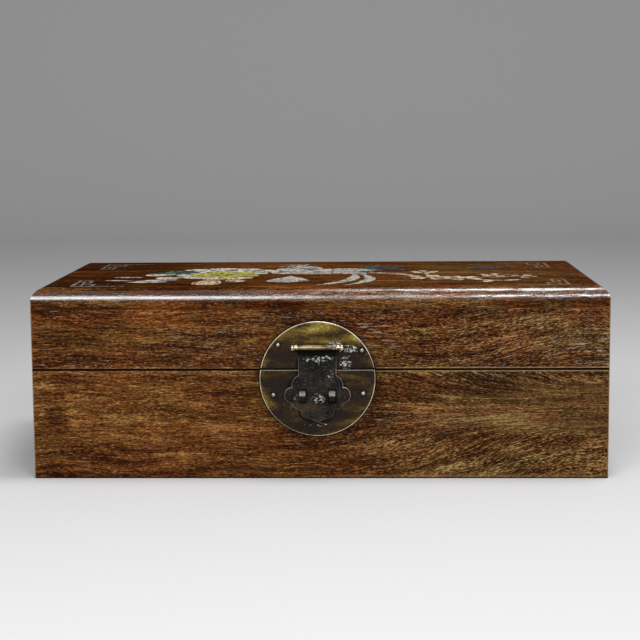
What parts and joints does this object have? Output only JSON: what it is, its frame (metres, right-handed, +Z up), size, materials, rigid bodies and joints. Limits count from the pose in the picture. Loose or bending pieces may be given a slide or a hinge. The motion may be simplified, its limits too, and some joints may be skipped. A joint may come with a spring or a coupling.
{
  "type": "ink stick and stone box",
  "caption": "Mitred hardwood box with hinged lid, round two-part brass lock plate, cloud-shaped hasp over two lock eyes, and shell inlay in the lid.",
  "frame": {"origin": "middle of the underside", "axes": "+X to the right seen from the front, +Y to the hinged back, +Z up; the lock is on the -Y face"},
  "size_m": [0.3, 0.1688, 0.1002],
  "materials": {
    "rosewood_case": "waxed open-grained rosewood, golden brown with dark lines",
    "rosewood_lid": "waxed open-grained rosewood, redder brown",
    "rosewood_top": "waxed open-grained rosewood, rounded and rubbed at the edges",
    "rosewood_inside": "plain planed rosewood, little wax",
    "brass_lock_plate": "dark brown patina, bright bevelled rim",
    "brass_hasp": "dark grey-brown patina, rubbed edges, pale crust",
    "brass_hinge": "brown patina, brighter knuckles",
    "brass_worn": "handled bright on the proud faces",
    "brass_nails": "rubbed domes",
    "shell_white": "mother-of-pearl, grey-white",
    "shell_yellow": "mother-of-pearl, stained yellow-green",
    "shell_green": "abalone, dark green and blue",
    "shell_blue": "mother-of-pearl, blue-grey",
    "shell_pink": "mother-of-pearl, warm tan and pink"
  },
  "bodies": {
    "case": {"base_back_board": "rosewood_case", "base_bottom_panel": "rosewood_case", "base_corner_splines": "rosewood_case", "base_front_board": "rosewood_case", "base_left_board": "rosewood_case", "base_right_board": "rosewood_case", "divider": "rosewood_inside", "hinge_left_lower_leaf": "brass_hinge", "hinge_left_pin": "brass_hinge", "hinge_nails_lower": "brass_nails", "hinge_right_lower_leaf": "brass_hinge", "hinge_right_pin": "brass_hinge", "lip_back_strip": "rosewood_inside", "lip_front_strip": "rosewood_inside", "lip_left_strip": "rosewood_inside", "lip_right_strip": "rosewood_inside", "lock_eye_left": "brass_worn", "lock_eye_right": "brass_worn", "lock_nails_lower": "brass_nails", "lock_plate_lower": "brass_lock_plate"},
    "lid": {"hasp_pin": "brass_worn", "hasp_pin_loops": "brass_worn", "hinge_left_upper_leaf": "brass_hinge", "hinge_nails_upper": "brass_nails", "hinge_right_upper_leaf": "brass_hinge", "inlay_bird_body": "shell_white", "inlay_bird_wing": "shell_blue", "inlay_blossoms": "shell_pink", "inlay_branch": "shell_pink", "inlay_butterfly": "shell_blue", "inlay_corner_frets": "shell_white", "inlay_dark_leaves": "shell_green", "inlay_peony_heart": "shell_yellow", "inlay_peony_petals": "shell_white", "inlay_sprays": "shell_white", "inlay_tail_plumes": "shell_blue", "lid_back_board": "rosewood_lid", "lid_corner_splines": "rosewood_lid", "lid_front_board": "rosewood_lid", "lid_left_board": "rosewood_lid", "lid_right_board": "rosewood_lid", "lid_top_panel": "rosewood_top", "lock_nails_upper": "brass_nails", "lock_plate_upper": "brass_lock_plate"},
    "hasp": {"hasp": "brass_hasp"}
  },
  "joints": [
    {"name": "lid_hinge", "type": "hinge", "parent": "case", "child": "lid", "pos_m": [0, 0.08075, 0.0575], "axis": [-1, 0, 0], "range_deg": [0, 180]},
    {"name": "hasp_swing", "type": "hinge", "parent": "lid", "child": "hasp", "pos_m": [-0.00095, -0.0812, 0.0691], "axis": [-1, 0, 0], "range_deg": [0, 185]}
  ]
}
